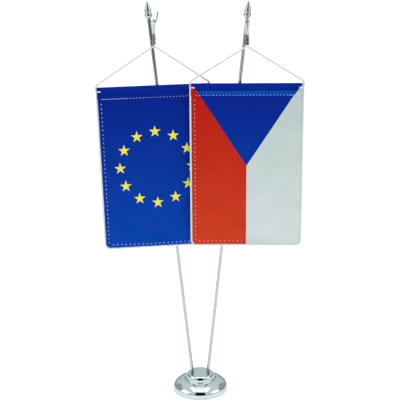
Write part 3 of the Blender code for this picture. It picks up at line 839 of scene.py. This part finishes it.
STITCH_INSET, STITCH_PITCH, POCKET_PITCH, STITCH_LENGTH = 0.0029, 0.0044, 0.0034, 0.0008
THREAD_RADIUS = 0.00028
BOW = np.array([-0.00018, 0.00010, 0.00024, 0.00030, 0.00024, 0.00010, -0.00018])    # along a stitch
TACK_DEPTH, TACK_STEP, TACK_THREADS = 0.0025, 0.00034, 3
EDGE_SINK, EDGE_SPREAD = 0.00016, 0.0008    # how deep and how far the cloth sinks at a row of stitches
POCKET_SINK, POCKET_SPREAD = 0.00022, 0.0009
PUCKER, PUCKER_SPREAD = 0.00005, 0.0020
HEM_WIDTH = 0.0052


def cloth_section(step):
    """The cloth's line across the rod: (distance down the front, back, up), from behind the seam to the hem.

    The first number is under 0 behind the pocket, so the print turns over the rod with the cloth.
    """
    lean = math.asin(POCKET_MIDDLE / (POCKET_DEPTH - POCKET_MIDDLE))
    seam = POCKET_MIDDLE - POCKET_DEPTH
    layer = CLOTH_THICKNESS * 0.6
    back = [(layer, seam - ALLOWANCE), (layer, seam)]
    round_rod = arc((0.0, 0.0), POCKET_MIDDLE, -math.degrees(lean), 232, 20) + list(CREASE_ROUTE)
    below = [(-layer * 0.2, seam), (0.0, seam - 0.002), (0.0, seam - 0.004)]
    hem = POCKET_RADIUS - CLOTH_HEIGHT - EDGE_UNDER_CORD
    pocket = smooth_route(back + round_rod + below, 6)
    line = np.vstack([pocket, (0.0, hem)])
    along = distances(line)
    top = along[-1] - CLOTH_HEIGHT - EDGE_UNDER_CORD
    folded = along[len(pocket) - 1]
    places = np.concatenate([
        np.linspace(0.0, folded, round(folded / min(step, FOLD_STEP)))[:-1],
        np.linspace(folded, along[-1], round((along[-1] - folded) / step) + 1),
    ])
    return np.column_stack([places - top] + [np.interp(places, along, line[:, k]) for k in range(2)])


def waves(side, x, down):
    """The soft waves that the cloth starts from, 0 along its edges."""
    across, drop = x / CLOTH_WIDTH, down / CLOTH_HEIGHT
    fade = np.cos(math.pi * across) * np.sin(math.pi * np.clip(drop, 0.0, 1.0))
    if side == "left":
        shape = 0.8 * np.sin(9.5 * drop + 1.6 * across) + 0.5 * np.sin(15.0 * drop - 4.0 * across + 1.0)
    else:
        shape = 0.9 * np.sin(12.0 * drop - 1.2 * across + 0.6) + 0.5 * np.sin(20.0 * drop + 5.0 * across)
    return WAVE_HEIGHT * fade * shape


def hang(side, section, xs):
    """Lets the cloth settle from its pocket and its corded edges. Returns its points, row by row."""
    down = section[:, 0]
    free = (section[:, 2] < POCKET_MIDDLE - POCKET_DEPTH) & (down > 0)
    grid = np.zeros((len(section), len(xs), 3))
    grid[..., 0] = xs[None, :]
    grid[..., 1] = section[:, 1][:, None]
    grid[..., 2] = section[:, 2][:, None]
    grid[free, :, 1] += waves(side, xs[None, :], down[free][:, None])
    surface = Surface()
    surface.rows(grid * SIM_SCALE, around=False, caps=False)
    mesh = bpy.data.meshes.new("settling")
    mesh.from_pydata(surface.points, [], surface.faces)
    cloth = linked("settling", mesh)
    held = np.ones(grid.shape[:2], bool)
    held[free, 1:-1] = False
    held[-1] = True
    group = cloth.vertex_groups.new(name="held")
    for index in np.flatnonzero(held.ravel()):
        group.add([int(index)], 1.0, "REPLACE")
    settings = cloth.modifiers.new("settle", "CLOTH").settings
    settings.quality = 6
    settings.mass = 0.25
    settings.tension_stiffness = settings.compression_stiffness = 18.0
    settings.shear_stiffness = 6.0
    settings.bending_stiffness = 1.2
    settings.air_damping = 4.0
    settings.vertex_group_mass = "held"
    settings.shrink_min = -0.0035
    scene = bpy.context.scene
    for number in range(1, SIM_FRAMES + 1):
        scene.frame_set(number)
    graph = bpy.context.evaluated_depsgraph_get()
    settled = cloth.evaluated_get(graph).to_mesh()
    points = np.zeros(len(settled.vertices) * 3)
    settled.vertices.foreach_get("co", points)
    bpy.data.objects.remove(cloth)
    bpy.data.meshes.remove(mesh)
    scene.frame_set(1)
    return points.reshape(grid.shape) / SIM_SCALE


class Cloth:
    """A settled cloth that can be read at any place of its flat cut."""

    def __init__(self, side):
        self.section = cloth_section(COARSE)
        self.xs = np.linspace(-HALF_CUT, HALF_CUT, round(2 * HALF_CUT / COARSE) + 1)
        self.grid = hang(side, self.section, self.xs)

    def at(self, x, down):
        """Points and unit normals, towards the viewer, at matching arrays of places."""
        x, down = np.broadcast_arrays(np.asarray(x, float), np.asarray(down, float))
        points = self._read(x, down)
        nudge = 0.0004
        over = self._read(x + nudge, down) - self._read(x - nudge, down)
        up = self._read(x, down - nudge) - self._read(x, down + nudge)
        normal = np.cross(over, up)
        return points, normal / np.linalg.norm(normal, axis=-1)[..., None]

    def _read(self, x, down):
        """Points on smooth curves through the grid's own."""
        rows = np.interp(down, self.section[:, 0], np.arange(len(self.section)))
        columns = np.interp(x, self.xs, np.arange(len(self.xs)))
        r0 = np.clip(rows.astype(int), 0, len(self.section) - 2)
        c0 = np.clip(columns.astype(int), 0, len(self.xs) - 2)
        total = 0.0
        for k, down_weight in enumerate(spline_weights(rows - r0)):
            row = np.clip(r0 + k - 1, 0, len(self.section) - 1)
            for m, across_weight in enumerate(spline_weights(columns - c0)):
                column = np.clip(c0 + m - 1, 0, len(self.xs) - 1)
                total = total + (down_weight * across_weight)[..., None] * self.grid[row, column]
        return total


def cut_corners(x, down):
    """Pulls what lies outside the rounded lower corners onto their arcs."""
    low = CLOTH_HEIGHT + EDGE_UNDER_CORD - CORNER_RADIUS
    side = HALF_CUT - CORNER_RADIUS
    dx, dy = np.abs(x) - side, down - low
    corner = (dx > 0) & (dy > 0)
    share = np.where(corner, np.maximum(dx, dy) / np.maximum(np.hypot(dx, dy), 1e-9), 1.0)
    return (np.where(corner, np.sign(x) * (side + dx * share), x), np.where(corner, low + dy * share, down))


def seam_dip(x, down):
    """How far the surface stands out. It sinks at the lines of stitches, and puckers a little beside them."""
    from_edge = np.minimum(CLOTH_WIDTH / 2 - np.abs(x), CLOTH_HEIGHT - down)
    dip = -EDGE_SINK * np.exp(-((from_edge - STITCH_INSET) / EDGE_SPREAD) ** 2)
    dip += -POCKET_SINK * np.exp(-((down - POCKET_DEPTH) / POCKET_SPREAD) ** 2)
    along = np.where(np.abs(x) > CLOTH_HEIGHT - down, x, down)
    pucker = PUCKER * np.sin(2 * math.pi * along / STITCH_PITCH)
    near = np.exp(-((from_edge - STITCH_INSET) / PUCKER_SPREAD) ** 2)
    return np.where(down > 0.001, dip + pucker * near, 0.0)


def satin_sheet(side, name, surface, flat, material, thickness, replaces=()):
    """A thin sheet of the printed satin. flat holds each point's place on the cut, across and down."""
    mesh = bpy.data.meshes.new(name)
    mesh.from_pydata(surface.points, [], surface.faces)
    uv = np.column_stack([flat[:, 0] / FLAT_SPAN + 0.5, np.abs(flat[:, 1]) / FLAT_SPAN])
    corner = np.zeros(len(mesh.loops), int)
    mesh.loops.foreach_get("vertex_index", corner)
    mesh.uv_layers.new(name="flat").data.foreach_set("uv", uv[corner].ravel())
    obj = piece(name, mesh, material, side + "_flag", flag_place(side), replaces, 80)
    solid = obj.modifiers.new("thickness", "SOLIDIFY")
    solid.thickness = thickness
    solid.offset = 0.0
    return obj


def make_cloth(side, cloth, material):
    xs = np.linspace(-HALF_CUT, HALF_CUT, round(2 * HALF_CUT / FINE) + 1)
    x, down = cut_corners(*np.meshgrid(xs, cloth_section(FINE)[:, 0]))
    points, normals = cloth.at(x, down)
    surface = Surface()
    surface.rows(points + normals * seam_dip(x, down)[..., None], around=False, caps=False)
    flat = np.column_stack([x.ravel(), down.ravel()])
    return satin_sheet(side, side + "_satin_flag", surface, flat, material, CLOTH_THICKNESS,
                       [side + "_flag_cloth"])


def seam_lines(side):
    """Each stitched line as (start, end, pitch) on the flat cut.

    The pocket's seam is locked by closer stitches at one end.
    """
    x, low = CLOTH_WIDTH / 2 - STITCH_INSET, CLOTH_HEIGHT - STITCH_INSET
    if side == "left":
        pocket = [(-x, -x + 0.027, POCKET_PITCH / 2), (-x + 0.0275, x, POCKET_PITCH)]
    else:
        pocket = [(x - 0.010, x - 0.0005, POCKET_PITCH / 2), (-x, x - 0.010, POCKET_PITCH)]
    edges = [
        ((-x, POCKET_DEPTH + 0.003), (-x, low), STITCH_PITCH),
        ((x, POCKET_DEPTH + 0.003), (x, low), STITCH_PITCH),
        ((-x + 0.002, low), (x - 0.002, low), STITCH_PITCH),
    ]
    return edges + [((a, POCKET_DEPTH), (b, POCKET_DEPTH), pitch) for a, b, pitch in pocket]


def make_stitches(side, cloth):
    """Each stitch is a bow of thread that comes up through the cloth and goes down again."""
    shape = Surface()
    for start, end, pitch in seam_lines(side):
        start, end = np.array(start), np.array(end)
        span = np.linalg.norm(end - start)
        count = max(1, round(span / pitch))
        for k in range(count):
            along = (k + 0.5) / count + np.linspace(-0.5, 0.5, len(BOW)) * STITCH_LENGTH / span
            x, down = (start + (end - start) * along[:, None]).T
            points, normals = cloth.at(x, down)
            lift = CLOTH_THICKNESS / 2 + seam_dip(x, down) + BOW
            shape.tube(points + normals * lift[:, None], THREAD_RADIUS, 6)
    for sign in (-1, 1):
        for k in range(TACK_THREADS):
            x = sign * (CLOTH_WIDTH / 2 - np.linspace(-0.0002, 0.0028, 5))
            points, normals = cloth.at(x, TACK_DEPTH + TACK_STEP * k)
            shape.tube(points + normals * 0.00032, THREAD_RADIUS, 6)
    name = side + "_stitching"
    return piece(name, shape.mesh(name), THREAD, side + "_flag", flag_place(side), (), 60)


def make_hem(side, cloth, material):
    """The turned-up edge behind the cloth, down both sides and along the bottom."""
    low, edge = CLOTH_HEIGHT - 0.0006, CLOTH_WIDTH / 2 - 0.0004
    fold = low - HEM_WIDTH
    drop = np.linspace(POCKET_DEPTH + 0.004, fold, 140)
    strips = [
        (np.linspace(-edge, -edge + HEM_WIDTH, 6), drop),
        (np.linspace(edge - HEM_WIDTH, edge, 6), drop),
        (np.linspace(-edge, edge, 110), np.linspace(fold, low, 6)),
    ]
    surface = Surface()
    flat = []
    for strip in strips:
        x, down = cut_corners(*np.meshgrid(*strip))
        points, normals = cloth.at(x, down)
        behind = seam_dip(x, down) - CLOTH_THICKNESS * 1.05
        surface.rows(points + normals * behind[..., None], around=False, caps=False)
        flat.append(np.column_stack([x.ravel(), down.ravel()]))
    return satin_sheet(side, side + "_hem", surface, np.concatenate(flat), material, CLOTH_THICKNESS * 0.8)


def make_flag(side, material):
    cloth = Cloth(side)
    sheet = make_cloth(side, cloth, material)
    stitches = make_stitches(side, cloth)
    hem = make_hem(side, cloth, material)


# ---- studio ----

def square(name, corners, material):
    mesh = bpy.data.meshes.new(name)
    mesh.from_pydata(corners, [], [(0, 1, 2, 3)])
    mesh.materials.append(material)
    obj = linked(name, mesh)
    return obj


def make_floor():
    """A pale floor that glows a little, so that it stays plain far behind the stand."""
    grey = (0.90, 0.90, 0.90)
    paint = Paint("pale_floor", grey, 0.7, Emission_Color=(1.0, 1.0, 1.0, 1.0), Emission_Strength=0.36)
    soft = paint.noise(paint.place(), 2.0, 2.0)
    paint.colour(paint.blend(paint.spread(soft, 0.0, 0.3), grey, shaded(grey, 0.99)))
    h = 30.0
    floor = square("floor", [(-h, -h, 0.0), (h, -h, 0.0), (h, h, 0.0), (-h, h, 0.0)], paint.material)
    floor.location.z = -0.00005    # clear of the pad's underside, so that the two don't flicker


def make_card(name, centre, width, height, colour):
    """A flat card that only shiny surfaces see, as a photographer's black and grey flags."""
    material = bpy.data.materials.new(name)
    material.use_nodes = True
    tree = material.node_tree
    tree.nodes.clear()
    glow = tree.nodes.new("ShaderNodeEmission")
    glow.inputs["Color"].default_value = (*colour, 1.0)
    tree.links.new(glow.outputs[0], tree.nodes.new("ShaderNodeOutputMaterial").inputs["Surface"])
    w, h = width / 2, height / 2
    card = square(name, [(-w, 0.0, -h), (w, 0.0, -h), (w, 0.0, h), (-w, 0.0, h)], material)
    card.location = centre
    card.rotation_euler.z = math.atan2(centre[1], centre[0]) - math.radians(90)
    for ray in ("camera", "diffuse", "shadow", "transmission"):
        setattr(card, "visible_" + ray, False)


def make_light(name, place, aim, size, power):
    light = bpy.data.lights.new(name, "AREA")
    light.shape = "RECTANGLE"
    light.size, light.size_y = size
    light.energy = power
    lamp = linked(name, light)
    lamp.location = place
    lamp.rotation_mode = "QUATERNION"
    lamp.rotation_quaternion = (Vector(aim) - Vector(place)).to_track_quat("-Z", "Y")
    lamp.visible_camera = False


def make_studio():
    """A sky that darkens towards the horizon, three soft boxes and the cards. The camera sees plain white."""
    scene = bpy.context.scene
    scene.view_settings.view_transform = "Standard"
    world = bpy.data.worlds.new("studio")
    scene.world = world
    world.use_nodes = True
    tree = world.node_tree
    height = tree.nodes.new("ShaderNodeSeparateXYZ")
    tree.links.new(tree.nodes.new("ShaderNodeTexCoord").outputs["Generated"], height.inputs[0])
    sky = tree.nodes.new("ShaderNodeValToRGB")
    tree.links.new(height.outputs["Z"], sky.inputs["Fac"])
    sky.color_ramp.elements[0].color = (0.30, 0.32, 0.325, 1.0)
    sky.color_ramp.elements[1].color = (0.94, 1.0, 1.0, 1.0)
    level = sky.color_ramp.elements.new(0.34)
    level.color = (0.80, 0.86, 0.865, 1.0)
    backdrop = tree.nodes.new("ShaderNodeMix")
    backdrop.data_type = "RGBA"
    tree.links.new(tree.nodes.new("ShaderNodeLightPath").outputs["Is Camera Ray"], backdrop.inputs["Factor"])
    tree.links.new(sky.outputs["Color"], backdrop.inputs["A"])
    backdrop.inputs["B"].default_value = (1.0, 1.0, 1.0, 1.0)
    background = tree.nodes["Background"]
    tree.links.new(backdrop.outputs["Result"], background.inputs["Color"])
    background.inputs["Strength"].default_value = 1.0
    middle = (0.0, 0.0, 0.22)
    make_light("left_box", (-1.45, -0.45, 0.95), middle, (1.1, 1.1), 4.0)
    make_light("right_box", (1.45, -0.45, 0.95), middle, (1.1, 1.1), 3.2)
    make_light("top_box", (0.0, -0.10, 2.0), middle, (1.6, 1.2), 9.0)
    make_card("black_front_card", (0.0, -1.0, 0.87), 0.86, 1.66, (0.006, 0.007, 0.007))
    for sign in (-1, 1):
        name = ("left" if sign < 0 else "right") + "_slate_card"
        make_card(name, (sign * 1.6, 0.85, 0.85), 1.5, 1.5, (0.42, 0.50, 0.53))


def make_camera():
    """The viewing angle: slightly above the flags, looking down a little."""
    pitch, yaw, roll = math.radians(13.915), math.radians(-0.112), math.radians(-0.373)
    forward = Vector((math.sin(yaw) * math.cos(pitch), math.cos(yaw) * math.cos(pitch), -math.sin(pitch)))
    right = forward.cross(Vector((0.0, 0.0, 1.0))).normalized()
    up = right.cross(forward)
    across = right * math.cos(roll) + up * math.sin(roll)
    upright = up * math.cos(roll) - right * math.sin(roll)
    data = bpy.data.cameras.new("camera")
    data.sensor_width = 36.0
    data.lens = 81.0
    data.clip_start, data.clip_end = 0.01, 100.0
    camera = linked("camera", data)
    camera.matrix_world = basis(Vector((0.00269, -0.9031, 0.43495)), across, upright, -forward)
    bpy.context.scene.camera = camera


# ---- build ----

make_camera()
for side in SIDES:
    make_loop(side)
    make_flag_cord(side)
make_base()
make_pad()
for node in ("ballast", "ballast_screw"):
    mesh = frame["nodes"][node].data
    mesh.materials.clear()
    mesh.materials.append(STEEL)
for side, satin in (("left", starred_satin()), ("right", tricolour_satin())):
    make_pole(side)
    make_finial(side)
    make_hook(side)
    make_ferrule(side)
    make_rod(side)
    make_flag(side, satin)
make_floor()
make_studio()
